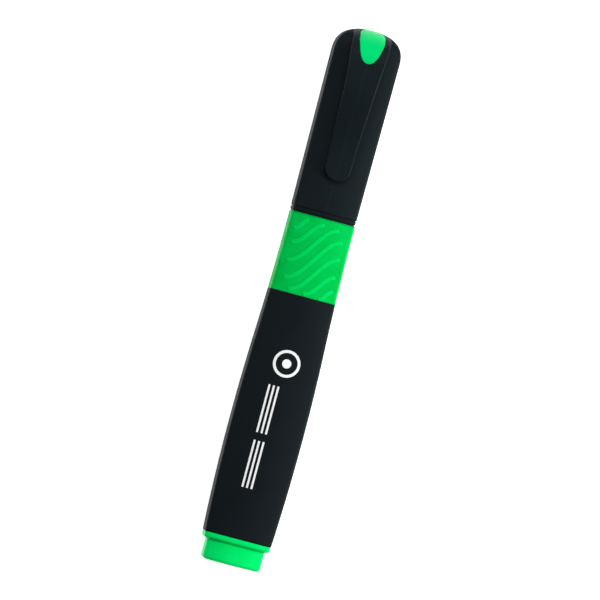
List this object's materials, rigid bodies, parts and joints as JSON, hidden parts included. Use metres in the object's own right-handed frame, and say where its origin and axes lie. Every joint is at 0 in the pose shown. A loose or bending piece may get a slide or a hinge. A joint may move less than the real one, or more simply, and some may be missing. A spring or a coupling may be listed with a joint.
{
  "type": "highlighter",
  "caption": "Flat-bodied capped highlighter with a rubber wave grip, a chisel nib, a pull-off cap and a springy pocket clip.",
  "frame": {"origin": "middle of the pen's width and length, on the surface it lies on when it lies on its back", "axes": "+Y along the pen towards the cap, +Z out of the front face where the clip is, +X across the pen to the right of the front"},
  "size_m": [0.0186, 0.138, 0.0163],
  "materials": {
    "black_plastic": "satin moulded",
    "green_plastic": "satin moulded",
    "green_rubber": "soft matte",
    "nib_felt": "pressed felt",
    "ink_fibre": "bundled fibre",
    "clear_film": "thin film",
    "pale_plastic": "natural polyethylene"
  },
  "bodies": {
    "barrel": {"barrel_shell": "black_plastic", "grip_sleeve": "green_rubber", "end_plug": "green_plastic", "nib_section": "black_plastic", "nib": "nib_felt", "reservoir": "ink_fibre", "reservoir_film": "clear_film", "vent_tube": "pale_plastic"},
    "cap": {"cap_shell": "black_plastic", "inner_cap": "pale_plastic", "colour_insert": "green_plastic"},
    "clip": {"clip_arm": "black_plastic"}
  },
  "joints": [
    {"name": "cap_pull", "type": "slide", "parent": "barrel", "child": "cap", "axis": [0, 1, 0], "range_m": [0, 0.055]},
    {"name": "clip_flex", "type": "hinge", "parent": "cap", "child": "clip", "pos_m": [0, 0.05785, 0.0162], "axis": [-1, 0, 0], "range_deg": [0, 6], "stiffness_Nm_per_rad": 1.1}
  ]
}
